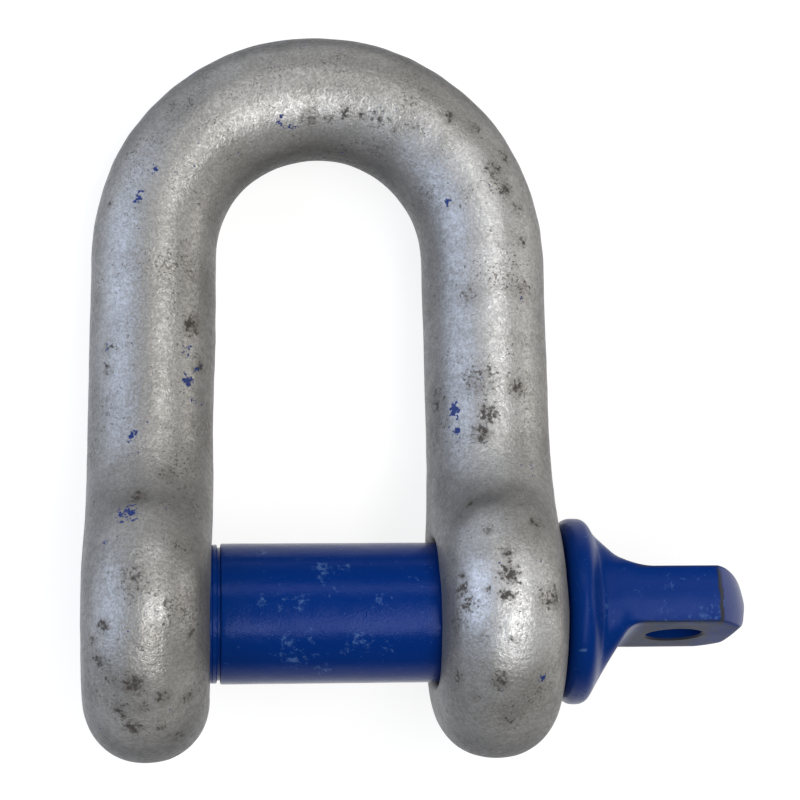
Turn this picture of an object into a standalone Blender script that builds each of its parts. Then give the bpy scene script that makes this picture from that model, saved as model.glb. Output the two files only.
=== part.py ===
# Screw-pin chain shackle: a forged dee bow, and the screw pin that closes it.
# Metres, +Z up. The pin lies along X with its head at +X, and the crown points to +Y.
# Both pieces are modelled about the pin's axis, with the bow's flat plane in XY.
# An empty then lays them down as the shackle rests: on the rims of both eyes and the crown.

import math

import bmesh
import bpy
from mathutils import Vector

# Bow: a round bar bent to a dee, with its two ends forged into eyes
BAR_RADIUS = 0.0128
CROWN_RADIUS = 0.0338             # bend of the bar's middle line round the crown
PIN_TO_CROWN = 0.1070             # pin axis to the bar's middle at the top of the crown
LEG_SPLAY = 0.0009                # each leg stands this much further out at the pin
EYE_RADIUS = 0.0293
EYE_HALF_THICKNESS = 0.0125       # the rim of an eye is rounded over all of its thickness
EYE_RIM_POWER = 2.1               # 2 makes a circular rim, and more a fuller one
EYE_FILLET = 0.022                # hollow curve between an eye and its leg
EYE_TO_BAR = 0.045                # the eye's thickness has become the bar's at this height

# Screw pin
PIN_RADIUS = 0.014
THREAD_RADIUS = 0.0138
THREAD_END_CHAMFER = 0.0015
THREAD_END_RECESS = 0.0005        # the pin's end lies this far inside the threaded eye's face
RELIEF_OFFSET = 0.0012            # from the threaded eye's inner face to the relief groove
RELIEF_WIDTH = 0.0007
RELIEF_DEPTH = 0.0006
SHANK_CHAMFER = 0.0003

# Fits between the two pieces
BORE_CLEARANCE = 0.00035          # round the shank in the plain eye
THREAD_CLEARANCE = 0.0003         # round the thread in the threaded eye
SEAT_GAP = 0.0003                 # between the collar and the plain eye
BORE_CHAMFER = 0.0008

# Head of the pin, measured along the pin from the collar's seat
# The tab's upper flat side is the one towards the crown, and the lower one faces away from it
COLLAR_RADIUS = 0.0187
COLLAR_SEAT_ROUND = 0.0020
COLLAR_EDGE_ROUND = 0.0016        # round edge between the collar's rim and the flare
FLARE_WIDE_START = 0.0043         # the flare leaves the collar here on the tab's narrow sides
FLARE_WIDE_ANGLE = math.radians(59.8)
FLARE_WIDE_FILLET = 0.0020
FLARE_UPPER_START = 0.0055        # here on the upper flat side, with a long hollow into the tab
FLARE_UPPER_ANGLE = math.radians(61.0)
FLARE_UPPER_FILLET = 0.0089
FLARE_LOWER_START = 0.0049        # and here on the lower one, with a tight hollow
FLARE_LOWER_ANGLE = math.radians(58.5)
FLARE_LOWER_FILLET = 0.0035
TAB_HALF_THICKNESS = 0.00575
TAB_HALF_WIDTH = 0.0140
TAB_EDGE_ROUND = 0.0006
TAB_SHOULDER = 0.0307             # the straight sides end here
TAB_LENGTH = 0.0388               # from the collar's seat to the tip of the tab
TAB_TIP_UPPER = 0.0076            # the upper side rounds over to the tip along this length
TAB_TIP_LOWER = 0.0026            # and the lower side along this one
TAB_TIP_LEAN = 0.0017             # the tip is this far off the tab's middle, across its width
TAB_OFFSET = 0.0007               # the forged tab sits a little off the pin's axis
TAB_TURN = math.radians(8.1)      # how far the tab is turned from the bow's plane when tight
TAB_HOLE_RADIUS = 0.0057
TAB_HOLE_PLACE = 0.0239
TAB_HOLE_CHAMFER = 0.0004

# Fineness of the meshes
BOW_RING_POINTS = 32
EYE_STEP = math.radians(6.5)
FILLET_STEPS = 6
LEG_STEPS = 4
CROWN_STEPS = 11
PIN_CORNER_POINTS = 9             # points on each quarter of the pin's sections
ROUND_STEPS = 4                   # steps round a small edge
EDGE_STEPS = 7
FLARE_STEPS = 14
TIP_STEPS = 8
CUTTER_STEPS = 48
CUTTER_OVERRUN = 0.004            # cutters run this far past the faces that they cut

# Derived places
LEG_TOP = PIN_TO_CROWN - CROWN_RADIUS
LEG_AT_PIN = CROWN_RADIUS + LEG_SPLAY
EYE_INNER_FACE = LEG_AT_PIN - EYE_HALF_THICKNESS
EYE_OUTER_FACE = LEG_AT_PIN + EYE_HALF_THICKNESS
COLLAR_SEAT = EYE_OUTER_FACE + SEAT_GAP
REST_TILT = math.asin((EYE_RADIUS - BAR_RADIUS) / PIN_TO_CROWN)


def clear_scene():
    for thing in list(bpy.data.objects):
        bpy.data.objects.remove(thing)


def make_collection(name):
    collection = bpy.data.collections.new(name)
    bpy.context.scene.collection.children.link(collection)
    return collection


def make_material(name, color, roughness, metallic):
    material = bpy.data.materials.new(name)
    material.use_nodes = True
    shader = material.node_tree.nodes["Principled BSDF"]
    shader.inputs["Base Color"].default_value = (*color, 1.0)
    shader.inputs["Roughness"].default_value = roughness
    shader.inputs["Metallic"].default_value = metallic
    return material


def make_object(name, bm, collection, parent):
    bmesh.ops.recalc_face_normals(bm, faces=bm.faces)
    mesh = bpy.data.meshes.new(name)
    bm.to_mesh(mesh)
    bm.free()
    thing = bpy.data.objects.new(name, mesh)
    collection.objects.link(thing)
    thing.parent = parent
    return thing


def finish_piece(thing, material, sharp_angle):
    thing.data.materials.append(material)
    thing.data.shade_smooth()
    thing.data.set_sharp_from_angle(angle=math.radians(sharp_angle))


def add_ring(bm, points):
    return [bm.verts.new(point) for point in points]


def join_rings(bm, first, second):
    for i in range(len(first)):
        j = (i + 1) % len(first)
        bm.faces.new((first[i], first[j], second[j], second[i]))


def close_ring(bm, ring, tip):
    point = bm.verts.new(tip)
    for i in range(len(ring)):
        bm.faces.new((ring[i], ring[(i + 1) % len(ring)], point))


def loft(bm, sections):
    rings = [add_ring(bm, section) for section in sections]
    for first, second in zip(rings, rings[1:]):
        join_rings(bm, first, second)
    return rings


def smooth_step(value):
    value = min(max(value, 0.0), 1.0)
    return value * value * (3.0 - 2.0 * value)


# Bow

# Height over the pin's axis at which the eye's fillet meets the leg
def fillet_height():
    return math.sqrt((EYE_RADIUS + EYE_FILLET) ** 2 - (BAR_RADIUS + EYE_FILLET) ** 2)


# Half the depth of a leg or eye, seen from the side, at a height over the pin
def side_reach(height):
    meets_leg = fillet_height()
    meets_eye = meets_leg * EYE_RADIUS / (EYE_RADIUS + EYE_FILLET)
    if height < meets_eye:
        return math.sqrt(EYE_RADIUS ** 2 - height ** 2)
    if height < meets_leg:
        return BAR_RADIUS + EYE_FILLET - math.sqrt(EYE_FILLET ** 2 - (height - meets_leg) ** 2)
    return BAR_RADIUS


# Distance of a point inside the side outline from that outline
def side_inset(height, depth):
    meets_leg = fillet_height()
    centre_depth = BAR_RADIUS + EYE_FILLET
    if abs(depth) * meets_leg >= height * centre_depth:
        return EYE_RADIUS - math.hypot(height, depth)
    if height < meets_leg:
        return math.hypot(height - meets_leg, abs(depth) - centre_depth) - EYE_FILLET
    return BAR_RADIUS - abs(depth)


# Points round a leg or eye: flat in the middle, and round at its rim
def leg_section(height):
    blend = smooth_step(height / EYE_TO_BAR)
    half_thickness = EYE_HALF_THICKNESS + (BAR_RADIUS - EYE_HALF_THICKNESS) * blend
    power = EYE_RIM_POWER + (2.0 - EYE_RIM_POWER) * blend
    middle = CROWN_RADIUS + LEG_SPLAY * (1.0 - max(height, 0.0) / LEG_TOP)
    reach = side_reach(height)
    points = []
    for i in range(BOW_RING_POINTS):
        angle = 2.0 * math.pi * i / BOW_RING_POINTS
        depth = reach * math.sin(angle)
        inset = min(max(side_inset(height, depth) / half_thickness, 0.0), 1.0)
        across = half_thickness * (1.0 - (1.0 - inset) ** power) ** (1.0 / power)
        points.append((middle + math.copysign(across, math.cos(angle)), height, depth))
    return points


# Points round the bar, a bend angle up from the top of the leg
def crown_section(bend):
    points = []
    for i in range(BOW_RING_POINTS):
        angle = 2.0 * math.pi * i / BOW_RING_POINTS
        radius = CROWN_RADIUS + BAR_RADIUS * math.cos(angle)
        points.append((radius * math.cos(bend), LEG_TOP + radius * math.sin(bend),
                       BAR_RADIUS * math.sin(angle)))
    return points


# Heights of the sections from just above the eye's lowest point to its fillet
def eye_heights():
    top = math.asin(fillet_height() / (EYE_RADIUS + EYE_FILLET))
    steps = round((math.pi / 2.0 + top) / EYE_STEP)
    step = (math.pi / 2.0 + top) / steps
    return [EYE_RADIUS * math.sin(step * i - math.pi / 2.0) for i in range(1, steps + 1)]


# Heights of the sections up the fillet, at equal angles round it
def fillet_heights():
    meets_leg = fillet_height()
    turn = math.acos((BAR_RADIUS + EYE_FILLET) / (EYE_RADIUS + EYE_FILLET))
    return [meets_leg - EYE_FILLET * math.sin(turn * (1.0 - i / FILLET_STEPS))
            for i in range(1, FILLET_STEPS + 1)]


def leg_heights():
    start = fillet_height()
    return [start + (LEG_TOP - start) * i / LEG_STEPS for i in range(1, LEG_STEPS)]


def make_bow(collection, parent):
    sections = [leg_section(height) for height in eye_heights() + fillet_heights() + leg_heights()]
    sections += [crown_section(math.pi / 2.0 * i / CROWN_STEPS) for i in range(CROWN_STEPS + 1)]
    for i, point in enumerate(sections[-1]):
        sections[-1][i] = (0.0, point[1], point[2])
    bm = bmesh.new()
    rings = loft(bm, sections)
    close_ring(bm, rings[0], (LEG_AT_PIN, -EYE_RADIUS, 0.0))
    bow = make_object("bow", bm, collection, parent)
    mirror = bow.modifiers.new("other_half", "MIRROR")
    mirror.merge_threshold = 0.00001
    return bow


# Cutters

# A turned cutter: profile pairs are (along, radius), from one end to the other
def turned_cutter(name, profile, axis, place, collection, parent):
    bm = bmesh.new()
    points = [(0.0, profile[-1][0])] + [(radius, along) for along, radius in reversed(profile)]
    points.append((0.0, profile[0][0]))
    chain = [bm.verts.new((radius, 0.0, along)) for radius, along in points]
    for first, second in zip(chain, chain[1:]):
        bm.edges.new((first, second))
    mesh = bpy.data.meshes.new(name)
    bm.to_mesh(mesh)
    bm.free()
    cutter = bpy.data.objects.new(name, mesh)
    collection.objects.link(cutter)
    cutter.parent = parent
    cutter.location = place
    cutter.rotation_mode = "QUATERNION"
    cutter.rotation_quaternion = Vector((0.0, 0.0, 1.0)).rotation_difference(Vector(axis))
    screw = cutter.modifiers.new("turn", "SCREW")
    screw.steps = CUTTER_STEPS
    screw.render_steps = CUTTER_STEPS
    screw.use_merge_vertices = True
    screw.merge_threshold = 0.00001
    cutter.hide_render = True
    cutter.display_type = "WIRE"
    return cutter


# Profile of a through hole with a chamfer at each face, centred between the faces
def chamfered_bore(radius, half_length, chamfer):
    wide = radius + chamfer + CUTTER_OVERRUN
    end = half_length + CUTTER_OVERRUN
    return [(-end, wide), (-half_length + chamfer, radius), (half_length - chamfer, radius), (end, wide)]


def cut(thing, cutter):
    boolean = thing.modifiers.new(cutter.name, "BOOLEAN")
    boolean.operation = "DIFFERENCE"
    boolean.object = cutter


# Screw pin

# Along and radius pairs of the turned part, from the threaded end to the collar
def turned_profile():
    end = THREAD_END_RECESS - EYE_OUTER_FACE
    relief = RELIEF_OFFSET - EYE_INNER_FACE
    shank = relief + RELIEF_WIDTH
    profile = [
        (end, 0.0),
        (end, THREAD_RADIUS - THREAD_END_CHAMFER),
        (end + THREAD_END_CHAMFER, THREAD_RADIUS),
        (relief, THREAD_RADIUS),
        (relief, THREAD_RADIUS - RELIEF_DEPTH),
        (shank, THREAD_RADIUS - RELIEF_DEPTH),
        (shank, PIN_RADIUS - SHANK_CHAMFER),
        (shank + SHANK_CHAMFER, PIN_RADIUS),
        (COLLAR_SEAT, PIN_RADIUS),
    ]
    for i in range(ROUND_STEPS + 1):
        angle = math.pi / 2.0 * i / ROUND_STEPS
        along = COLLAR_SEAT + COLLAR_SEAT_ROUND * (1.0 - math.cos(angle))
        radius = COLLAR_RADIUS - COLLAR_SEAT_ROUND * (1.0 - math.sin(angle))
        profile.append((along, radius))
    profile.append((COLLAR_SEAT + flare_begin(FLARE_WIDE_START, FLARE_WIDE_ANGLE), COLLAR_RADIUS))
    return profile


# Distance from the seat at which the rim starts to round off into the flare
def flare_begin(start, angle):
    return start - COLLAR_EDGE_ROUND * math.tan(angle / 2.0)


# Distance from the seat at which the flare's fillet has reached the tab's size
def flare_end(start, angle, fillet, end_size):
    meet = start + (COLLAR_RADIUS - end_size) / math.tan(angle)
    return meet + fillet * math.tan(angle / 2.0)


# Half size of the flare: a round edge, a cone, and a fillet into the tab
def flare_size(along, start, angle, fillet, end_size):
    begin = flare_begin(start, angle)
    end = flare_end(start, angle, fillet, end_size)
    if along <= begin:
        return COLLAR_RADIUS
    if along < begin + COLLAR_EDGE_ROUND * math.sin(angle):
        rise = math.sqrt(COLLAR_EDGE_ROUND ** 2 - (along - begin) ** 2)
        return COLLAR_RADIUS - COLLAR_EDGE_ROUND + rise
    if along < end - fillet * math.sin(angle):
        return COLLAR_RADIUS - (along - start) * math.tan(angle)
    if along < end:
        return end_size + fillet - math.sqrt(fillet ** 2 - (end - along) ** 2)
    return end_size


# Centre and radius of the arc that ends the tab, seen on its flat side
def tip_arc():
    rise = TAB_LENGTH - TAB_SHOULDER
    radius = (TAB_HALF_WIDTH ** 2 + rise ** 2) / (2.0 * rise)
    return TAB_LENGTH - radius, radius


# Half thickness of the head on one of the tab's flat sides, at a distance from the seat
def flat_side(along, start, angle, fillet, tip_round):
    thickness = flare_size(along, start, angle, fillet, TAB_HALF_THICKNESS)
    over = (along - (TAB_LENGTH - tip_round)) / tip_round
    if over > 0.0:
        thickness *= math.sqrt(max(1.0 - over ** 2, 0.0))
    return thickness


# Half width of the head at a distance from the seat, and how far its middle leans
def narrow_sides(along):
    if along <= TAB_SHOULDER:
        width = flare_size(along, FLARE_WIDE_START, FLARE_WIDE_ANGLE, FLARE_WIDE_FILLET, TAB_HALF_WIDTH)
        return width, 0.0
    centre, radius = tip_arc()
    width = math.sqrt(max(radius ** 2 - (along - centre) ** 2, 0.0))
    return width, -TAB_TIP_LEAN * (along - TAB_SHOULDER) / (TAB_LENGTH - TAB_SHOULDER)


# Points of a rounded rectangle: a circle at the collar, and a flat bar at the tab
def head_section(along):
    upper = flat_side(along, FLARE_UPPER_START, FLARE_UPPER_ANGLE, FLARE_UPPER_FILLET, TAB_TIP_UPPER)
    lower = flat_side(along, FLARE_LOWER_START, FLARE_LOWER_ANGLE, FLARE_LOWER_FILLET, TAB_TIP_LOWER)
    thickness = (upper + lower) / 2.0
    width, lean = narrow_sides(along)
    flattened = (COLLAR_RADIUS - thickness) / (COLLAR_RADIUS - TAB_HALF_THICKNESS)
    corner = COLLAR_RADIUS + (TAB_EDGE_ROUND - COLLAR_RADIUS) * min(flattened, 1.0)
    corner = min(corner, thickness, width)
    offset = TAB_OFFSET * smooth_step((along - FLARE_UPPER_START) / (2.0 * FLARE_UPPER_START))
    middle = (lower - upper) / 2.0 - offset
    points = []
    for quarter in range(4):
        for i in range(PIN_CORNER_POINTS):
            angle = math.pi / 2.0 * (quarter + (i + 0.5) / PIN_CORNER_POINTS)
            side_t = 1.0 if quarter in (0, 3) else -1.0
            side_w = 1.0 if quarter in (0, 1) else -1.0
            t = middle + side_t * (thickness - corner) + corner * math.cos(angle)
            w = lean + side_w * (width - corner) + corner * math.sin(angle)
            points.append(tab_point(along, t, w))
    return points


# A point of the head from its thickness and width places, with the pin turned tight
def tab_point(along, t, w):
    y = -t * math.cos(TAB_TURN) + w * math.sin(TAB_TURN)
    z = t * math.sin(TAB_TURN) + w * math.cos(TAB_TURN)
    return (COLLAR_SEAT + along, y, z)


# Distances from the seat at which the head has a section
def head_places():
    begin = flare_begin(FLARE_WIDE_START, FLARE_WIDE_ANGLE)
    edge = flare_begin(FLARE_UPPER_START, FLARE_UPPER_ANGLE)
    edge += COLLAR_EDGE_ROUND * math.sin(FLARE_UPPER_ANGLE)
    end = flare_end(FLARE_UPPER_START, FLARE_UPPER_ANGLE, FLARE_UPPER_FILLET, TAB_HALF_THICKNESS)
    tip = TAB_LENGTH - TAB_SHOULDER
    places = [begin + (edge - begin) * i / EDGE_STEPS for i in range(EDGE_STEPS)]
    places += [edge + (end - edge) * i / FLARE_STEPS for i in range(FLARE_STEPS + 1)]
    places += [TAB_SHOULDER + tip * math.sin(math.pi / 2.0 * i / TIP_STEPS) for i in range(TIP_STEPS)]
    return places


def make_pin(collection, parent):
    points_round = 4 * PIN_CORNER_POINTS
    bm = bmesh.new()
    half_step = math.pi / points_round
    start = Vector(tab_point(0.0, math.cos(half_step), math.sin(half_step)))
    chain = [bm.verts.new((along, start.y * radius, start.z * radius))
             for along, radius in turned_profile()]
    edges = [bm.edges.new(pair) for pair in zip(chain, chain[1:])]
    bmesh.ops.spin(bm, geom=chain + edges, axis=(1.0, 0.0, 0.0), cent=(0.0, 0.0, 0.0),
                   angle=2.0 * math.pi, steps=points_round, use_merge=True)
    rings = loft(bm, [head_section(place) for place in head_places()])
    close_ring(bm, rings[-1], tab_point(TAB_LENGTH, -TAB_OFFSET, -TAB_TIP_LEAN))
    bmesh.ops.remove_doubles(bm, verts=bm.verts, dist=0.000001)
    return make_object("screw_pin", bm, collection, parent)


def main():
    clear_scene()
    parts = make_collection("chain_shackle")
    cutters = make_collection("cutters")

    rest = bpy.data.objects.new("rest_pose", None)
    parts.objects.link(rest)
    crown_end = PIN_TO_CROWN * math.cos(REST_TILT) + BAR_RADIUS
    left_side = -max(EYE_OUTER_FACE, CROWN_RADIUS + BAR_RADIUS)
    head_end = COLLAR_SEAT + TAB_LENGTH
    rest.location = (-(left_side + head_end) / 2.0, (EYE_RADIUS - crown_end) / 2.0, EYE_RADIUS)
    rest.rotation_euler = (-REST_TILT, 0.0, 0.0)

    galvanised = make_material("galvanised_steel", (0.42, 0.41, 0.39), 0.5, 0.6)
    blue_paint = make_material("blue_paint", (0.003, 0.025, 0.2), 0.35, 0.0)

    bow = make_bow(parts, rest)
    plain = chamfered_bore(PIN_RADIUS + BORE_CLEARANCE, EYE_HALF_THICKNESS, BORE_CHAMFER)
    threaded = chamfered_bore(THREAD_RADIUS + THREAD_CLEARANCE, EYE_HALF_THICKNESS, BORE_CHAMFER)
    cut(bow, turned_cutter("plain_bore", plain, (1, 0, 0), (LEG_AT_PIN, 0, 0), cutters, rest))
    cut(bow, turned_cutter("threaded_bore", threaded, (1, 0, 0), (-LEG_AT_PIN, 0, 0), cutters, rest))
    finish_piece(bow, galvanised, 40.0)

    pin = make_pin(parts, rest)
    hole = chamfered_bore(TAB_HOLE_RADIUS, TAB_HALF_THICKNESS, TAB_HOLE_CHAMFER)
    hole_axis = (0.0, -math.cos(TAB_TURN), math.sin(TAB_TURN))
    hole_place = tab_point(TAB_HOLE_PLACE, -TAB_OFFSET, 0.0)
    cut(pin, turned_cutter("tab_hole", hole, hole_axis, hole_place, cutters, rest))
    finish_piece(pin, blue_paint, 35.0)


main()
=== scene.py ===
import math

import bmesh
import bpy
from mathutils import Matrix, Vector, noise


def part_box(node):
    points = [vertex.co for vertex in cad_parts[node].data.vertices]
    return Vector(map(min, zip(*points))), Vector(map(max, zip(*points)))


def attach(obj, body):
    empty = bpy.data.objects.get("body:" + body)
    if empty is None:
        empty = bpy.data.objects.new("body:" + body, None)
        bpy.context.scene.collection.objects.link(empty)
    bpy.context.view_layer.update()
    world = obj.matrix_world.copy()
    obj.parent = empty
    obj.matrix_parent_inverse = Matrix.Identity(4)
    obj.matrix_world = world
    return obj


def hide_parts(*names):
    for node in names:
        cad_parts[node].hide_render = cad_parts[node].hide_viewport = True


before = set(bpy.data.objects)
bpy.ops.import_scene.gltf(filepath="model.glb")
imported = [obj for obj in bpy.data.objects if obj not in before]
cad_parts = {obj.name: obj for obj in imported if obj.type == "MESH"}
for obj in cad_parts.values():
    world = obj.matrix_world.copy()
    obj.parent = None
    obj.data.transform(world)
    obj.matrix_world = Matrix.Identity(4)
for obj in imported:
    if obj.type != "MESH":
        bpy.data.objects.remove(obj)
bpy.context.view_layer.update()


# The pin's axis runs along X through pinAxis, which is also the middle of the bow's gap
bowLow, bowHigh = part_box("bow")
eye = {
    "radius": 0.0293,
    "inner": 0.0222,            # inner faces of the eyes, from the middle of the gap
    "outer": 0.0472,
    "seatGap": 0.0003,
}
pinAxis = Vector(((bowLow[0] + bowHigh[0]) / 2, bowLow[1] + eye["radius"], eye["radius"]))


def scratchObject(name, bm):
    mesh = bpy.data.meshes.new(name)
    bm.to_mesh(mesh)
    bm.free()
    thing = bpy.data.objects.new(name, mesh)
    bpy.context.scene.collection.objects.link(thing)
    return thing


def applied(thing):
    # the mesh that the modifiers give, with the modifiers taken off
    graph = bpy.context.evaluated_depsgraph_get()
    mesh = bpy.data.meshes.new_from_object(thing.evaluated_get(graph))
    thing.modifiers.clear()
    thing.data = mesh
    return thing


def cutWith(thing, cutter):
    boolean = thing.modifiers.new("cut", "BOOLEAN")
    boolean.object = cutter
    applied(thing)
    bpy.data.objects.remove(cutter)


def finishPiece(thing, name, node, body, material, smoothAngle):
    thing.name = name
    thing.data.name = name
    thing.data.materials.clear()
    thing.data.materials.append(material)
    thing.data.shade_smooth()
    thing.data.set_sharp_from_angle(angle=math.radians(smoothAngle))
    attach(thing, body)
    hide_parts(node)
    print(name, len(thing.data.polygons), "faces")


spotReach = 2.2                 # a spot fades out at this many times its radius


def spotField(thing, name, spots):
    # a value at each vertex: 1 in the middle of a spot, falling to 0 at its reach
    layer = thing.data.attributes.new(name, "FLOAT", "POINT")
    values = []
    for vert in thing.data.vertices:
        most = 0.0
        for x, y, z, radius, strength in spots:
            away = (vert.co - Vector((x, y, z)) / 1000).length * 1000 / radius
            if away < spotReach:
                fall = 1 - away / spotReach
                most = max(most, strength * fall * fall * (3 - 2 * fall))
        values.append(most)
    layer.data.foreach_set("value", values)


# Painted shade on the bow: where the surface stands upright its colour is darkened
shadedFlanks = {
    "legsLess": 0.6,            # how much weaker it is where the surface faces along X
    "upright": 0.3,             # full up to this much of the normal along Z
    "fade": 0.66,               # and gone after this much more
}


def flankShadeField(thing):
    # a value at each vertex for the painted shade: 1 where the surface stands upright, 0 where it faces up
    # or down, and less on the sides of the legs than on the crown and the ends of the eyes
    layer = thing.data.attributes.new("shadedFlanks", "FLOAT", "POINT")
    values = []
    for vert in thing.data.vertices:
        side = 1 - shadedFlanks["legsLess"] * vert.normal.x ** 2
        lying = (abs(vert.normal.z) - shadedFlanks["upright"]) / shadedFlanks["fade"]
        values.append(side * (1 - smoothStep(lying)))
    layer.data.foreach_set("value", values)


# Rings drawn out along the pin's axis, closed at both ends
def drawOut(bm, rings):
    circle = bmesh.ops.create_circle(bm, segments=len(rings[0]), radius=0.01)["verts"]
    for vert, place in zip(circle, rings[0]):
        vert.co = place
    firstEdges = [edge for edge in bm.edges]
    edges = firstEdges
    for ring in rings[1:]:
        new = bmesh.ops.extrude_edge_only(bm, edges=edges)["geom"]
        verts = [item for item in new if isinstance(item, bmesh.types.BMVert)]
        edges = [item for item in new if isinstance(item, bmesh.types.BMEdge)]
        for vert, place in zip(verts, ring):
            vert.co = place
    bmesh.ops.holes_fill(bm, edges=firstEdges, sides=0)
    bmesh.ops.holes_fill(bm, edges=edges, sides=0)
    bmesh.ops.recalc_face_normals(bm, faces=bm.faces)


pinShape = {
    "segments": 96,
    "smoothAngle": 35,
    "shankRadius": 0.0140,
    "threadRadius": 0.0138,
    "threadDepth": 0.0013,
    "threadPitch": 0.0032,
    "threadSteps": 12,          # rings for each turn of the thread
    "endChamfer": 0.0022,
    "endRecess": 0.0005,
    "landLength": 0.0022,       # plain land between the last thread and the relief groove
    "reliefPlace": 0.0012,      # from the threaded eye's inner face
    "reliefWidth": 0.0007,
    "reliefDepth": 0.0006,
    "linePlace": 0.0009,        # a fine turned line in the land, from the relief groove
    "shankRings": 60,
    "collarRadius": 0.0187,
    "seatRound": 0.0028,
    "seatRings": 8,
    "edgeRound": 0.0024,
    "wide": (0.0043, 59.8, 0.0020),     # start, angle and fillet of the flare at the tab's edges
    "upper": (0.0055, 61.0, 0.0089),    # at its flat side towards the crown
    "lower": (0.0049, 58.5, 0.0035),    # at its other flat side
    "flareEnd": 0.019,
    "flareRings": 60,
    "tabThickness": 0.0115,
    "tabWidth": 0.0280,
    "tabEdge": 0.0006,
    "sideCrown": 0.0009,        # the tab's narrow sides bulge by this much
    "sideSpread": 0.35,         # points with a smaller sine or cosine lie along a side
    "tabShoulder": 0.0307,
    "tabRings": 16,
    "tabLength": 0.0388,
    "tipRings": 28,
    "tipEdge": 0.0018,          # the tab's edges grow rounder towards its tip
    "tipUpper": 0.0076,
    "tipLower": 0.0036,
    "tipLean": 0.0017,
    "tabOffset": 0.0007,
    "tabTurn": 16.97,           # degrees round the pin, from upright
    "holeRadius": 0.0057,
    "holePlace": 0.0239,
    "holeChamfer": 0.0004,
    "holePoints": 72,
    "holeOverrun": 0.004,       # the hole's cutter runs this far past the chamfers
}


def threadHeight(along, angle, pitch):
    # 1 on the crest and 0 in the root, with short flats on both
    phase = (along / pitch + angle / (2 * math.pi)) % 1.0
    return min(max(1.5 - abs(phase - 0.5) * 4.0, 0.0), 1.0)


def smoothStep(value):
    value = min(max(value, 0.0), 1.0)
    return value * value * (3 - 2 * value)


def flareSize(along, flare, endSize):
    collar, edge = pinShape["collarRadius"], pinShape["edgeRound"]
    start, angle, fillet = flare[0], math.radians(flare[1]), flare[2]
    begin = start - edge * math.tan(angle / 2)
    end = start + (collar - endSize) / math.tan(angle) + fillet * math.tan(angle / 2)
    if along <= begin:
        return collar
    if along < begin + edge * math.sin(angle):
        return collar - edge + math.sqrt(edge ** 2 - (along - begin) ** 2)
    if along < end - fillet * math.sin(angle):
        return collar - (along - start) * math.tan(angle)
    if along < end:
        return endSize + fillet - math.sqrt(fillet ** 2 - (end - along) ** 2)
    return endSize


def flatSide(along, flare, tip):
    size = flareSize(along, flare, pinShape["tabThickness"] / 2)
    over = (along - pinShape["tabLength"] + tip) / tip
    if over > 0:
        size *= math.sqrt(max(1 - over ** 2, 0.0))
    return size


def pinPlace(along, across, up):
    # a place on the pin with the tab's turn; along is measured from the middle of the gap
    turn = math.radians(pinShape["tabTurn"])
    y = -across * math.cos(turn) + up * math.sin(turn)
    z = across * math.sin(turn) + up * math.cos(turn)
    return pinAxis + Vector((along, y, z))


def headRing(along):
    p = pinShape
    upper = flatSide(along, p["upper"], p["tipUpper"])
    lower = flatSide(along, p["lower"], p["tipLower"])
    thickness = (upper + lower) / 2
    width, lean, edge = flareSize(along, p["wide"], p["tabWidth"] / 2), 0.0, p["tabEdge"]
    if along > p["tabShoulder"]:
        tip = p["tabLength"] - p["tabShoulder"]
        radius = ((p["tabWidth"] / 2) ** 2 + tip ** 2) / (2 * tip)
        width = math.sqrt(max(radius ** 2 - (along - p["tabLength"] + radius) ** 2, 0.0))
        lean = -p["tipLean"] * (along - p["tabShoulder"]) / tip
        edge += (p["tipEdge"] - p["tabEdge"]) * smoothStep((along - p["tabShoulder"]) / tip)
    flat = min((p["collarRadius"] - thickness) / (p["collarRadius"] - p["tabThickness"] / 2), 1.0)
    corner = min(p["collarRadius"] + (edge - p["collarRadius"]) * flat, thickness, width)
    offset = p["tabOffset"] * smoothStep((along - p["upper"][0]) / (2 * p["upper"][0]))
    middle = (lower - upper) / 2 - offset
    ring = []
    for i in range(p["segments"]):
        angle = 2 * math.pi * (i + 0.5) / p["segments"]
        aside = min(max(math.cos(angle) / p["sideSpread"], -1), 1)
        rise = min(max(math.sin(angle) / p["sideSpread"], -1), 1)
        across = middle + (thickness - corner) * aside + corner * math.cos(angle)
        up = lean + (width - corner) * rise + corner * math.sin(angle)
        up -= min(p["sideCrown"], width / 5) * flat ** 2 * aside ** 2 * rise
        ring.append(pinPlace(eye["outer"] + eye["seatGap"] + along, across, up))
    return ring


def roundRing(along, radius, threaded=0.0):
    p = pinShape
    ring = []
    for i in range(p["segments"]):
        angle = 2 * math.pi * (i + 0.5) / p["segments"]
        groove = p["threadDepth"] * (1 - threadHeight(along, angle, p["threadPitch"])) * threaded
        size = min(radius, p["threadRadius"] - groove) if threaded else radius
        ring.append(pinPlace(along, size * math.cos(angle), size * math.sin(angle)))
    return ring


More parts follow.
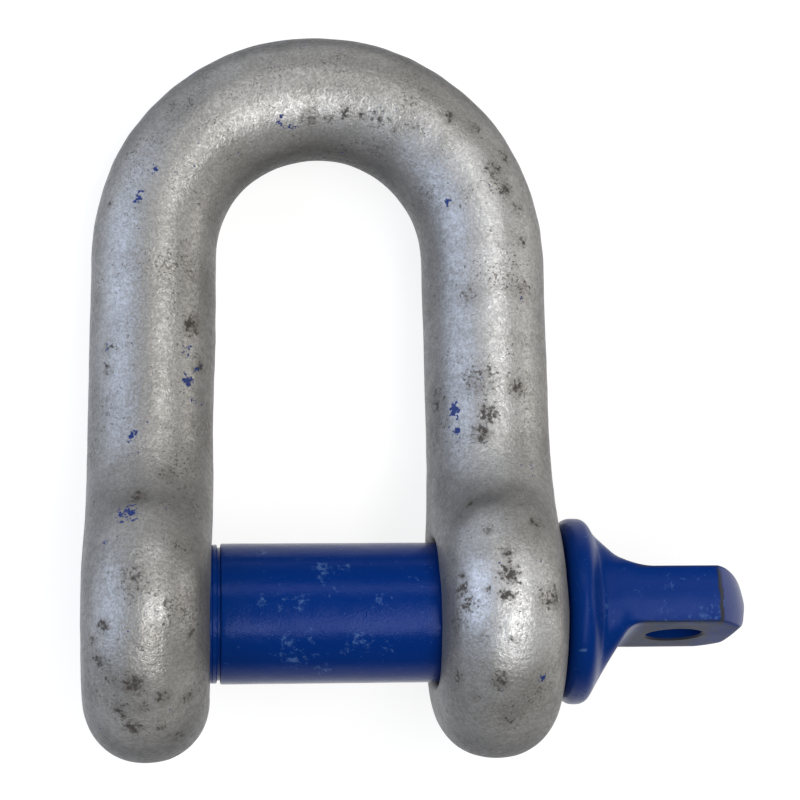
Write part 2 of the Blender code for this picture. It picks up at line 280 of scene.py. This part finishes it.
def pinRings():
    p = pinShape
    end = p["endRecess"] - eye["outer"]
    relief = p["reliefPlace"] - eye["inner"]
    shank = relief + p["reliefWidth"]
    seat = eye["outer"] + eye["seatGap"]
    land = relief - p["landLength"]
    crest, size, bottom = p["threadRadius"], p["shankRadius"], p["threadRadius"] - p["reliefDepth"]
    step, tiny = 0.0001, 0.00012
    rings = [roundRing(end, crest - p["endChamfer"])]
    count = int((land - end) / p["threadPitch"] * p["threadSteps"])
    for i in range(1, count + 1):
        along = end + (land - end) * i / count
        chamfer = max(p["endChamfer"] - (along - end), 0.0)
        rings.append(roundRing(along, crest - chamfer, smoothStep((land - along) / p["threadPitch"])))
    # the turned line, the relief groove and the chamfer at the start of the shank
    line = relief - p["linePlace"]
    for along, radius in ((line - step, crest), (line, crest - tiny), (line + step, crest),
                          (relief - tiny, crest), (relief, crest - tiny), (relief + step, bottom),
                          (shank - step, bottom), (shank, size - 2 * tiny),
                          (shank + tiny, size - 0.4 * tiny), (shank + 3 * tiny, size)):
        rings.append(roundRing(along, radius))
    count = p["shankRings"]
    rings += [roundRing(shank + (seat - shank) * i / count, size) for i in range(1, count + 1)]
    for i in range(p["seatRings"] + 1):
        angle = math.pi / 2 * i / p["seatRings"]
        radius = p["collarRadius"] - p["seatRound"] * (1 - math.sin(angle))
        rings.append(roundRing(seat + p["seatRound"] * (1 - math.cos(angle)), radius))
    # the head starts just past the seat's last ring, so that no two rings are in one place
    start, flareEnd, count = p["seatRound"] + 0.00004, p["flareEnd"], p["flareRings"]
    rings += [headRing(start + (flareEnd - start) * i / count) for i in range(count + 1)]
    shoulder, count = p["tabShoulder"], p["tabRings"]
    rings += [headRing(flareEnd + (shoulder - flareEnd) * i / count) for i in range(1, count + 1)]
    tip, count = p["tabLength"] - shoulder, p["tipRings"]
    rings += [headRing(shoulder + tip * math.sin(math.pi / 2 * i / count)) for i in range(1, count)]
    return rings


# Pale scuffs in the paint: x, y, z and radius in millimetres, and strength
scuffs = [
    (-31.7, -32.1, 35.6, 1.0, 0.8), (-19.7, -35.4, 39.8, 2.0, 0.9), (-15.4, -34.9, 39.3, 1.0, 0.9),
    (-31.9, -41.1, 42.8, 1.0, 0.9), (-27.9, -41.2, 42.8, 1.6, 0.6), (-24.2, -41.0, 42.8, 1.2, 0.9),
    (-18.1, -39.3, 42.3, 0.8, 0.6), (-8.8, -40.9, 42.8, 1.2, 0.8), (-2.0, -36.6, 40.8, 0.8, 0.6),
    (-26.9, -48.5, 42.7, 1.6, 0.8), (-22.6, -48.0, 42.8, 1.0, 0.8), (-27.6, -51.6, 41.4, 1.0, 0.9),
    (-25.6, -52.4, 40.8, 1.9, 0.8), (-21.4, -51.6, 41.4, 0.8, 0.7), (-19.7, -54.9, 38.8, 1.4, 0.9),
    (-13.5, -48.1, 42.8, 1.6, 0.8), (-11.7, -49.9, 42.2, 1.2, 0.8), (-7.4, -49.9, 42.2, 1.2, 0.6),
    (-15.6, -51.1, 41.7, 0.8, 0.8), (32.4, -29.0, 39.2, 0.6, 1), (31.3, -33.8, 44.5, 0.6, 1),
    (30.4, -50.5, 47.0, 0.6, 0.7), (54.1, -44.6, 43.9, 1.9, 0.6), (47.2, -43.6, 43.6, 1.7, 0.5),
    (48.5, -38.4, 42.0, 0.8, 0.8), (59.3, -41.4, 42.4, 0.6, 1), (36.2, -43.1, 43.4, 1.2, 0.4),
    (33.0, -59.3, 39.5, 1.6, 0.5), (54.7, -36.5, 41.5, 1.2, 0.3), (62.4, -41.7, 39.1, 2.0, 0.4),
    (55.5, -44.2, 43.9, 1.6, 0.8), (59.0, -44.3, 43.8, 1.5, 0.9), (57.0, -43.0, 43.6, 1.0, 0.6),
]


def makePin():
    p = pinShape
    bm = bmesh.new()
    drawOut(bm, pinRings())
    pin = scratchObject("pin_form", bm)
    bm = bmesh.new()
    # the hole's cutter widens into a chamfer at both faces
    flat, wide = p["tabThickness"] / 2 - p["holeChamfer"], p["holeOverrun"] + p["holeChamfer"]
    sizes = ((-flat - wide, p["holeRadius"] + wide), (-flat, p["holeRadius"]),
             (flat, p["holeRadius"]), (flat + wide, p["holeRadius"] + wide))
    rings = []
    for across, radius in sizes:
        ring = []
        for i in range(p["holePoints"]):
            angle = 2 * math.pi * i / p["holePoints"]
            along = eye["outer"] + eye["seatGap"] + p["holePlace"] + radius * math.cos(angle)
            ring.append(pinPlace(along, across - p["tabOffset"], radius * math.sin(angle)))
        rings.append(ring)
    drawOut(bm, rings)
    cutWith(pin, scratchObject("hole_form", bm))
    spotField(pin, "scuffs", scuffs)
    finishPiece(pin, "blue_screw_pin", "screw_pin", "pin",
                paintMaterial(), p["smoothAngle"])
    return pin


bowFinish = {
    "weld": 0.000002,
    "voxel": 0.0008,
    "smoothing": 9, "smoothFactor": 0.5,
    "smoothAngle": 50,
    "forgeLump": 0.00022, "forgeScale": 0.017,
    "skinLump": 0.00008, "skinScale": 0.0045,
    "sink": 0.00006,
    "margin": 0.00002,          # the skin stays this far inside the solid's box
    "bore": 0.01435, "boreChamfer": 0.0008,
    "threadMinor": 0.0142, "threadMajor": 0.0152, "threadChamfer": 0.0012,
    "boreOverrun": 0.003,       # the bores' cutters run this far past the faces of the eyes
}

# Dark pits and rubbed places, and specks of blue paint, on the bow
pits = [
    (-55.7, -20.7, 45.9, 1.5, 0.8), (-55.9, -35.2, 56.7, 3.4, 0.45), (-47.3, -29.9, 52.4, 1.9, 0.45),
    (-62.0, -44.4, 56.0, 1.3, 0.9), (-63.9, -47.0, 54.1, 0.9, 0.8), (-62.4, -51.3, 54.8, 1.7, 0.8),
    (-60.5, -54.4, 55.2, 1.1, 0.7), (-56.4, -55.2, 56.3, 1.9, 1), (-58.7, -60.3, 53.0, 1.9, 0.8),
    (-54.6, -59.6, 54.4, 1.1, 0.8), (-56.4, -63.8, 51.2, 1.5, 0.9), (-50.7, -57.9, 54.9, 1.3, 0.8),
    (-46.3, -58.1, 52.1, 1.3, 0.7), (-51.3, -64.1, 50.8, 0.8, 0.8), (-47.6, -66.1, 46.5, 1.0, 0.8),
    (-45.4, -45.8, 54.9, 0.9, 0.8), (-50.0, -40.3, 57.6, 0.7, 0.8), (-51.2, -44.0, 58.1, 4.1, 0.25),
    (14.1, -34.8, 56.7, 1.9, 1), (13.7, -38.9, 57.8, 1.3, 0.9), (14.3, -31.1, 55.2, 1.3, 0.8),
    (5.7, -38.2, 53.6, 1.5, 0.9), (6.7, -40.6, 55.0, 1.3, 0.9), (6.0, -35.4, 53.0, 0.9, 0.8),
    (10.2, -38.0, 56.8, 0.7, 0.8), (10.9, -26.9, 51.8, 0.8, 0.8), (8.3, -22.2, 45.2, 0.8, 0.8),
    (9.3, -47.4, 57.0, 0.9, 0.7), (12.6, -55.4, 56.2, 1.5, 0.9), (15.1, -62.8, 52.2, 2.3, 0.55),
    (22.4, -39.5, 56.0, 1.9, 0.8), (20.7, -25.7, 49.9, 1.5, 0.6), (5.2, -55.0, 51.4, 1.1, 0.7),
    (8.3, -58.7, 52.8, 0.8, 0.7), (14.8, -47.3, 58.4, 0.9, 0.6), (-45.5, 13.0, 30.3, 1.8, 1),
    (-43.9, 4.6, 30.0, 1.4, 0.8), (-62.1, 8.5, 30.6, 1.4, 0.6), (-62.3, 3.9, 31.3, 1.2, 0.7),
    (-60.4, -15.1, 38.1, 1.2, 0.5), (-50.3, -16.2, 40.4, 1.6, 0.6), (-62.0, 37.7, 24.8, 0.8, 0.7),
    (-64.7, 18.1, 25.6, 1.8, 0.35), (-48.0, 27.9, 29.7, 2.0, 0.3), (17.7, 40.9, 27.7, 1.4, 0.8),
    (20.4, 37.3, 27.3, 1.2, 0.7), (21.3, 30.3, 28.4, 1.0, 0.8), (9.7, 18.9, 31.4, 1.8, 0.6),
    (21.5, 20.4, 29.9, 1.6, 0.6), (11.7, 2.7, 34.5, 3.4, 0.55), (19.4, 0.7, 34.2, 1.6, 0.9),
    (13.1, -4.5, 35.8, 1.8, 1), (11.8, -8.5, 36.5, 1.6, 1), (3.7, -1.8, 29.2, 2.0, 0.5),
    (-21.8, 55.6, 24.5, 1.5, 0.7), (-17.9, 55.4, 24.2, 1.0, 0.75), (-14.7, 56.7, 25.0, 1.3, 0.8),
    (-11.2, 55.9, 24.9, 1.1, 0.75), (-7.6, 55.5, 25.6, 1.8, 0.6), (-4.4, 53.6, 25.2, 0.9, 0.8),
    (-0.6, 53.4, 26.5, 1.5, 0.6), (6.6, 55.8, 26.0, 1.2, 0.8), (11.9, 54.0, 25.1, 1.2, 0.7),
    (15.3, 45.2, 27.4, 1.6, 0.7), (18.2, 48.0, 24.4, 1.2, 0.7), (-49.7, 57.8, 23.3, 1.2, 0.6),
    (-17.4, 49.7, 18.8, 6.2, 0.2),
]
blueSpecks = [
    (-57.5, -23.4, 48.8, 1.9, 1), (-61.3, -28.6, 51.1, 1.5, 0.4), (-46.3, 7.9, 31.7, 1.2, 0.8),
    (-46.3, 2.0, 32.6, 1.4, 0.8), (-45.3, -2.6, 32.4, 1.6, 0.6), (-43.9, 4.4, 30.0, 1.0, 0.8),
    (-62.1, 8.5, 30.6, 1.0, 0.6), (-57.2, -9.3, 36.6, 0.8, 1), (-56.5, -11.8, 37.9, 1.2, 0.6),
    (-56.3, 38.5, 28.5, 0.8, 1), (6.1, 38.8, 27.4, 0.8, 0.9), (11.7, 2.1, 34.6, 0.8, 0.8),
    (6.5, -3.9, 32.8, 1.2, 1), (7.3, -7.9, 34.3, 1.6, 0.7), (21.2, -15.2, 38.2, 2.0, 0.4),
    (-27.9, 54.9, 24.8, 1.1, 1), (-25.6, 53.3, 23.6, 0.9, 1), (-44.7, 65.4, 18.3, 1.6, 0.5),
    (-53.0, 44.2, 28.1, 1.2, 0.7), (-55.9, 39.2, 28.5, 0.8, 0.7), (21.0, -54.9, 55.2, 0.9, 1),
    (20.3, 18.4, 30.9, 1.0, 0.4),
]

# Wide places with a painted highlight, where the zinc's colour is made bright
paintedHighlights = [
    (9.5, -38.0, 56.5, 5.5, 1.0), (16.5, -46.0, 57.5, 5.5, 1.0), (10.0, -26.0, 51.0, 4.5, 0.7),
    (17.5, -36.0, 57.0, 4.5, 0.8), (12.5, -56.0, 56.0, 4.0, 0.3), (12.0, -14.0, 39.0, 6.0, 0.6),
    (14.0, -4.0, 35.5, 6.0, 0.65), (14.0, 6.0, 34.0, 6.0, 0.7), (14.5, 16.0, 32.5, 6.0, 0.7),
    (14.5, 26.0, 31.0, 6.0, 0.75), (13.0, 36.0, 29.0, 6.0, 0.75), (8.5, 45.0, 28.0, 5.5, 0.7),
    (1.0, 52.0, 27.0, 4.4, 0.65), (-8.0, 55.5, 26.0, 3.7, 0.65), (-17.0, 56.5, 25.5, 3.7, 0.65),
    (-26.0, 56.0, 25.5, 3.7, 0.55), (-34.0, 54.0, 26.0, 3.6, 0.4), (-52.0, -41.0, 58.0, 3.0, 0.5),
    (-52.5, -31.0, 54.0, 2.6, 0.4), (-48.0, -45.0, 57.0, 2.4, 0.3), (-59.0, 32.0, 28.5, 5.0, 0.4),
    (-60.0, 20.0, 30.0, 5.0, 0.35), (-55.0, 44.0, 27.0, 5.0, 0.3),
]


def boreCutter(name, middle, radius, deep, chamfer):
    # a cutter along X that widens into a chamfer at both faces, with a thread if deep is over radius
    p = pinShape
    half, past = (eye["outer"] - eye["inner"]) / 2, bowFinish["boreOverrun"]
    steps = int(2 * half / p["threadPitch"] * p["threadSteps"])
    profile = [(-half - past, radius + chamfer + past), (-half + chamfer, radius)]
    profile += [(-half + chamfer + 2 * (half - chamfer) * i / steps, radius) for i in range(1, steps + 1)]
    profile.append((half + past, radius + chamfer + past))
    rings = []
    for along, size in profile:
        ring = []
        for i in range(p["segments"]):
            angle = 2 * math.pi * (i + 0.5) / p["segments"]
            groove = radius + (deep - radius) * threadHeight(middle + along, angle, p["threadPitch"])
            wide = max(size, groove)
            ring.append(pinPlace(middle + along, wide * math.cos(angle), wide * math.sin(angle)))
        rings.append(ring)
    bm = bmesh.new()
    drawOut(bm, rings)
    return scratchObject(name, bm)


def makeBow():
    # the solid's mesh made fine, smoothed and given the lumps of a forging, and then its two bores
    p = bowFinish
    bm = bmesh.new()
    bm.from_mesh(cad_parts["bow"].data)
    bmesh.ops.remove_doubles(bm, verts=bm.verts, dist=p["weld"])
    bow = scratchObject("bow_form", bm)
    remesh = bow.modifiers.new("fine", "REMESH")
    remesh.mode = "VOXEL"
    remesh.voxel_size = p["voxel"]
    applied(bow)
    bm = bmesh.new()
    bm.from_mesh(bow.data)
    for i in range(p["smoothing"]):
        bmesh.ops.smooth_vert(bm, verts=bm.verts, factor=p["smoothFactor"],
                              use_axis_x=True, use_axis_y=True, use_axis_z=True)
    bm.normal_update()
    low, high = [value + p["margin"] for value in bowLow], [value - p["margin"] for value in bowHigh]
    moved = []
    for vert in bm.verts:
        lump = noise.noise(vert.co / p["forgeScale"]) * p["forgeLump"]
        lump += noise.noise(vert.co / p["skinScale"]) * p["skinLump"]
        place = vert.co + vert.normal * (lump - p["sink"])
        moved.append([min(max(place[i], low[i]), high[i]) for i in range(3)])
    for vert, place in zip(bm.verts, moved):
        vert.co = place
    bm.to_mesh(bow.data)
    bm.free()
    middle = (eye["outer"] + eye["inner"]) / 2
    cutWith(bow, boreCutter("plain_form", middle, p["bore"], p["bore"], p["boreChamfer"]))
    cutWith(bow, boreCutter("thread_form", -middle, p["threadMinor"], p["threadMajor"], p["threadChamfer"]))
    spotField(bow, "pits", pits)
    spotField(bow, "specks", blueSpecks)
    spotField(bow, "paintedHighlights", paintedHighlights)
    flankShadeField(bow)
    finishPiece(bow, "galvanised_bow", "bow", "bow",
                galvanisedMaterial(), p["smoothAngle"])
    return bow


# Shader maths: a Signal wraps a socket, and an expression on Signals adds the Math nodes for it
class Signal:
    def __init__(self, tree, socket=None):
        self.tree = tree
        self.socket = socket

    def node(self, kind, settings=None, values=None, out=0):
        new = self.tree.nodes.new("ShaderNode" + kind)
        for key, value in (settings or {}).items():
            setattr(new, key, value)
        for key, value in (values or {}).items():
            if isinstance(value, Signal):
                self.tree.links.new(value.socket, new.inputs[key])
            else:
                new.inputs[key].default_value = value
        return Signal(self.tree, new.outputs[out])

    def math(self, operation, *others):
        return self.node("Math", {"operation": operation}, dict(enumerate((self,) + others)))

    def __add__(self, other):
        return self.math("ADD", other)

    def __sub__(self, other):
        return self.math("SUBTRACT", other)

    def __rsub__(self, other):
        return self.node("Math", {"operation": "SUBTRACT"}, {0: other, 1: self})

    def __mul__(self, other):
        return self.math("MULTIPLY", other)

    def limit(self, low, high, newLow=0.0, newHigh=1.0):
        # a smooth step from low to high
        values = {"Value": self, "From Min": low, "From Max": high, "To Min": newLow, "To Max": newHigh}
        return self.node("MapRange", {"interpolation_type": "SMOOTHSTEP"}, values)

    def mix(self, first, second):
        # colours mixed by this value
        return self.node("Mix", {"data_type": "RGBA"}, {0: self, 6: first, 7: second}, out=2)

    def noise(self, scale, detail=2.0, rough=0.5):
        # this place's noise, with features of about 1/scale metres
        values = {"Vector": self, "Scale": scale, "Detail": detail, "Roughness": rough}
        return self.node("TexNoise", values=values)


def newMaterial(name):
    material = bpy.data.materials.new(name)
    material.use_nodes = True
    material.node_tree.nodes.clear()
    return material, Signal(material.node_tree)


def finishMaterial(start, shader):
    output = start.tree.nodes.new("ShaderNodeOutputMaterial")
    start.tree.links.new(shader.socket, output.inputs["Surface"])


zinc = {
    # the colour of the painted highlights
    "bright": (0.64, 0.645, 0.65, 1),
    "light": (0.42, 0.412, 0.395, 1),
    "dull": (0.27, 0.26, 0.24, 1),
    # the colour of the painted shade on the upright sides
    "flankShade": (0.09, 0.089, 0.086, 1),
    "smudgeAndHighlight": (0.10, 0.086, 0.068, 1),
    "pit": (0.04, 0.033, 0.026, 1),
    "speck": (0.002, 0.022, 0.15, 1),
    "metallic": 0.5,
    "roughness": (0.31, 0.46),
    "grain": 0.00015,           # height of the grain in metres
    "shine": 0.35,
    "shineTint": (0.75, 0.76, 0.78, 1),
    # features of each noise to the metre
    "cloudScale": 60.0,
    "lumpScale": 950.0,
    "grainScale": 2100.0,
    "smudgeScale": 700.0,
    "dotScale": 1700.0,
    "dotGroupScale": 110.0,
    "pitScale": 1000.0,
    "speckScale": 900.0,
    # the values of the noise at which a mark begins and is full
    "dotEdge": (0.95, 1.06),
    "pitEdge": (0.62, 0.82),
    "speckEdge": (0.69, 0.75),
    # how much each mark covers of the colour under it
    "flankShadeCover": 0.92,
    "smudgeCover": 0.7,
    "dotCover": 0.75,
    "pitCover": 0.9,
    "speckCover": 0.97,
}


def galvanisedMaterial():
    material, start = newMaterial("galvanised_zinc")
    z = zinc
    place = start.node("TexCoord", out=3)
    pitted = start.node("Attribute", {"attribute_name": "pits"}, out=2)
    painted = start.node("Attribute", {"attribute_name": "specks"}, out=2)
    smudgeAndHighlight = start.node("Attribute", {"attribute_name": "paintedHighlights"}, out=2)
    flankShade = start.node("Attribute", {"attribute_name": "shadedFlanks"}, out=2)
    cloud = place.noise(z["cloudScale"], 4.0, 0.6)
    lumps = place.noise(z["lumpScale"], 3.0, 0.6)
    grain = place.noise(z["grainScale"])
    mottle = lumps * 0.4 + grain * 0.6
    dullness = mottle.limit(0.38, 0.60) * 0.65 + cloud.limit(0.35, 0.65) * 0.35
    color = dullness.mix(z["light"], z["dull"])
    # painted highlight: at the listed places the colour is lifted towards the bright zinc colour
    color = (smudgeAndHighlight.limit(0.0, 0.9) * mottle.limit(0.3, 0.6, 1.0, 0.5)).mix(color, z["bright"])
    # painted shade: the upright sides are darkened towards the flank colour
    color = ((flankShade + (cloud - 0.5) * 0.5).limit(0.0, 0.86) * z["flankShadeCover"]).mix(color, z["flankShade"])
    # a smudge round each group of pits, small dots everywhere, and the pits themselves
    smudge = pitted * z["smudgeCover"] * place.noise(z["smudgeScale"]).limit(0.35, 0.65, 0.4, 1.0)
    color = smudge.mix(color, z["smudgeAndHighlight"])
    dots = place.noise(z["dotScale"], 2.0, 0.6) + place.noise(z["dotGroupScale"]) * 0.6 + pitted * 0.1
    color = (dots.limit(*z["dotEdge"]) * z["dotCover"]).mix(color, z["smudgeAndHighlight"])
    pit = (place.noise(z["pitScale"], 3.0, 0.62) + pitted * 0.30).limit(*z["pitEdge"])
    color = (pit * z["pitCover"]).mix(color, z["pit"])
    # specks of paint from the pin
    speck = (place.noise(z["speckScale"], 3.0, 0.62) + painted * 0.30).limit(*z["speckEdge"])
    color = (speck * z["speckCover"]).mix(color, z["speck"])
    rough = lumps.limit(0.3, 0.7, *z["roughness"]) + pit * 0.25 + flankShade * 0.1
    height = lumps + grain * 0.45 - pit * 0.25
    bump = start.node("Bump", values={"Strength": 1.0, "Distance": z["grain"], "Height": height})
    metal = (1.0 - pit) * (1.0 - speck) * (1.0 - flankShade * 0.45) * z["metallic"]
    shader = start.node("BsdfPrincipled", values={
        "Base Color": color, "Roughness": rough, "Metallic": metal, "Normal": bump,
        "Specular IOR Level": z["shine"], "Specular Tint": z["shineTint"]})
    finishMaterial(start, shader)
    return material


paint = {
    "blue": (0.0010, 0.026, 0.175, 1),
    "scuffed": (0.06, 0.13, 0.32, 1),
    # the paler blue of the painted reflection on the tip
    "tipReflection": (0.085, 0.10, 0.24, 1),
    "greyed": (0.026, 0.034, 0.066, 1),
    "worn": (0.03, 0.032, 0.035, 1),
    "shine": 0.15,
    "shineTint": (0.45, 0.52, 1.0, 1),
    "roughness": (0.14, 0.22),
    "headRougher": 0.12,        # the forged head is duller than the turned shank
    "scuffRougher": 0.15,
    "flatRougher": 0.23,
    "ripple": 0.0001,           # height of the paint's ripple in metres
    # features of each noise to the metre
    "wanderScale": 500.0,
    "patchScale": 420.0,
    "scuffScale": 1000.0,
    "sheenScale": 120.0,
    "rippleScales": (2600.0, 260.0, 130.0),
    # how much each mark covers of the colour under it
    "tipReflectionCover": 0.6,
    "scuffCover": 0.8,
    # where marks on the head begin and where they are full, in metres
    "flatOut": (0.0051, 0.0056),        # the tab's flats, out from its middle plane
    "flatAlong": (0.013, 0.0165),       # and along from the collar's seat
    "leftPast": (0.004, 0.008),         # paint that is left, past the middle of the hole
    "bareRing": (0.0062, 0.0074),       # bare metal, round the middle of the hole
    "tipReflectionPast": (0.0004, 0.0016),      # painted reflection, a paler blue past the tab's shoulder
    "linePast": 0.0006,                 # a worn line, past the tab's shoulder
    "lineWidth": (0.0003, 0.0006),
    "lineLevel": (0.0395, 0.041),       # and over the floor
}


def paintMaterial():
    material, start = newMaterial("satin_blue_paint")
    p, c = pinShape, paint
    place = start.node("TexCoord", out=3)
    scuffed = start.node("Attribute", {"attribute_name": "scuffs"}, out=2)
    # along the pin from the collar's seat, and out from the middle plane of the tab, which leans
    seat = pinAxis.x + eye["outer"] + eye["seatGap"]
    along = start.node("SeparateXYZ", values={0: place}, out=0) - seat
    level = start.node("SeparateXYZ", values={0: place}, out=2)
    turn = math.radians(p["tabTurn"])
    out, top = Vector((0, -math.cos(turn), math.sin(turn))), Vector((0, math.sin(turn), math.cos(turn)))
    dot = {"operation": "DOT_PRODUCT"}
    across = start.node("VectorMath", dot, {0: place, 1: out}, out=1) - pinAxis.dot(out)
    up = start.node("VectorMath", dot, {0: place, 1: top}, out=1) - pinAxis.dot(top)
    flat = (across + p["tabOffset"]).math("ABSOLUTE").limit(*c["flatOut"]) * along.limit(*c["flatAlong"])
    # the flats are greyed in patches, and worn bare round the hole
    wander = place.noise(c["wanderScale"])
    patches = place.noise(c["patchScale"], 3.0, 0.6)
    color = (flat * patches.limit(0.36, 0.50, 0.35, 0.95)).mix(c["blue"], c["greyed"])
    color = (flat * patches.limit(0.30, 0.36, 0.8, 0.0)).mix(color, c["worn"])
    # paint that is left between the hole and the tip
    leftEdge = [p["holePlace"] + past for past in c["leftPast"]]
    left = along.limit(*leftEdge) * patches.limit(0.46, 0.51, 0.0, 0.85)
    color = (flat * left).mix(color, c["blue"])
    fromHole = along - p["holePlace"]
    fromHole = (fromHole * fromHole + up * up).math("SQRT") + (patches - 0.5) * 0.004
    color = (flat * fromHole.limit(*c["bareRing"], 0.9, 0.0)).mix(color, c["worn"])
    # painted reflection: past the tab's shoulder, except on the flats, the blue is made paler
    tip = (along + wander * 0.0008).limit(*[p["tabShoulder"] + past for past in c["tipReflectionPast"]])
    color = (tip * (1.0 - flat) * c["tipReflectionCover"]).mix(color, c["tipReflection"])
    scuff = (place.noise(c["scuffScale"], 3.0, 0.62) + scuffed * 0.28).limit(0.62, 0.86)
    color = (scuff * c["scuffCover"]).mix(color, c["scuffed"])
    # the sharp end of the tab's near edge has lost its paint
    away = (along + wander * 0.0009 - (p["tabShoulder"] + c["linePast"])).math("ABSOLUTE")
    line = away.limit(*c["lineWidth"], 1.0, 0.0) * level.limit(*c["lineLevel"])
    color = line.mix(color, c["worn"])
    fine, middle, broad = [place.noise(scale) for scale in c["rippleScales"]]
    height = fine * 0.4 + middle * 0.4 + broad
    bump = start.node("Bump", values={"Strength": 1.0, "Distance": c["ripple"], "Height": height})
    rough = place.noise(c["sheenScale"], 3.0).limit(0.3, 0.7, *c["roughness"])
    rough = rough + along.limit(0.0, 0.002, 0.0, c["headRougher"])
    rough = rough + scuff * c["scuffRougher"] + flat * c["flatRougher"]
    shader = start.node("BsdfPrincipled", values={
        "Base Color": color, "Roughness": rough, "Specular IOR Level": c["shine"],
        "Specular Tint": c["shineTint"], "Normal": bump})
    finishMaterial(start, shader)
    return material


# The camera stands where the photograph was taken, close over the shackle
view = {
    "place": (-0.04427, -0.00655, 0.450),
    "turn": (0.0110, -0.0958, 0.0010),
    "lens": 94.47,
    "sensor": 36.0,
    "nearest": 0.01,
}


def makeCamera():
    data = bpy.data.cameras.new("camera")
    data.lens = view["lens"]
    data.sensor_width = view["sensor"]
    data.clip_start = view["nearest"]
    camera = bpy.data.objects.new("camera", data)
    camera.location = view["place"]
    camera.rotation_euler = view["turn"]
    bpy.context.scene.collection.objects.link(camera)
    bpy.context.scene.camera = camera


# Two long lamps overhead, a cool window on the left and a weak low lamp on the right
lights = {
    "near": {"place": (0.18, -0.08, 0.98), "size": (1.0, 0.24), "power": 5.4, "color": (1.0, 0.985, 0.96)},
    "far": {"place": (0.12, 0.66, 0.75), "size": (1.0, 0.26), "power": 2.2, "color": (1.0, 0.985, 0.96)},
    "window": {"place": (-0.88, 0.12, 0.44), "size": (0.95, 1.1), "power": 6.6, "color": (0.58, 0.71, 1.0)},
    "right": {"place": (0.95, 0.15, 0.3), "size": (0.4, 0.4), "power": 1.4, "color": (1.0, 0.97, 0.93)},
}
worldLevel = 0.2
floorLook = {
    "size": 20.0,
    "color": (0.3, 0.3, 0.3, 1),
    "glow": 0.82,               # what lifts the floor to white, in the picture and in reflections
}


def makeLights():
    for name, light in lights.items():
        data = bpy.data.lights.new(name, "AREA")
        data.shape = "RECTANGLE"
        data.size, data.size_y = light["size"]
        data.energy = light["power"]
        data.color = light["color"]
        lamp = bpy.data.objects.new(name, data)
        lamp.location = light["place"]
        lamp.rotation_euler = (-Vector(light["place"])).to_track_quat("-Z", "Y").to_euler()
        bpy.context.scene.collection.objects.link(lamp)
    world = bpy.data.worlds.new("studio")
    world.use_nodes = True
    background = world.node_tree.nodes["Background"]
    background.inputs["Color"].default_value = (1, 1, 1, 1)
    background.inputs["Strength"].default_value = worldLevel
    bpy.context.scene.world = world


def makeFloor():
    # pale and matt; the picture and reflections also show a glow that lifts it to white
    bm = bmesh.new()
    bmesh.ops.create_grid(bm, x_segments=1, y_segments=1, size=floorLook["size"])
    floor = scratchObject("floor", bm)
    material, start = newMaterial("white_floor")
    seen = start.node("LightPath", out="Is Camera Ray") + start.node("LightPath", out="Is Glossy Ray")
    seen = (seen + start.node("LightPath", out="Is Transmission Ray")).math("MINIMUM", 1.0)
    matt = start.node("BsdfDiffuse", values={"Color": floorLook["color"]})
    glow = start.node("Emission", values={"Color": (1, 1, 1, 1), "Strength": floorLook["glow"]})
    lifted = start.node("AddShader", values={0: matt, 1: glow})
    front = start.node("MixShader", values={0: seen, 1: matt, 2: lifted})
    # nothing of it shows from below, so that the underside can be looked at
    below = start.node("NewGeometry", out="Backfacing")
    shader = start.node("MixShader", values={0: below, 1: front, 2: start.node("BsdfTransparent")})
    finishMaterial(start, shader)
    floor.data.materials.append(material)


makeBow()
makePin()
makeCamera()
makeLights()
makeFloor()
bpy.context.scene.view_settings.view_transform = "Standard"
print("camera, light and floor in place")
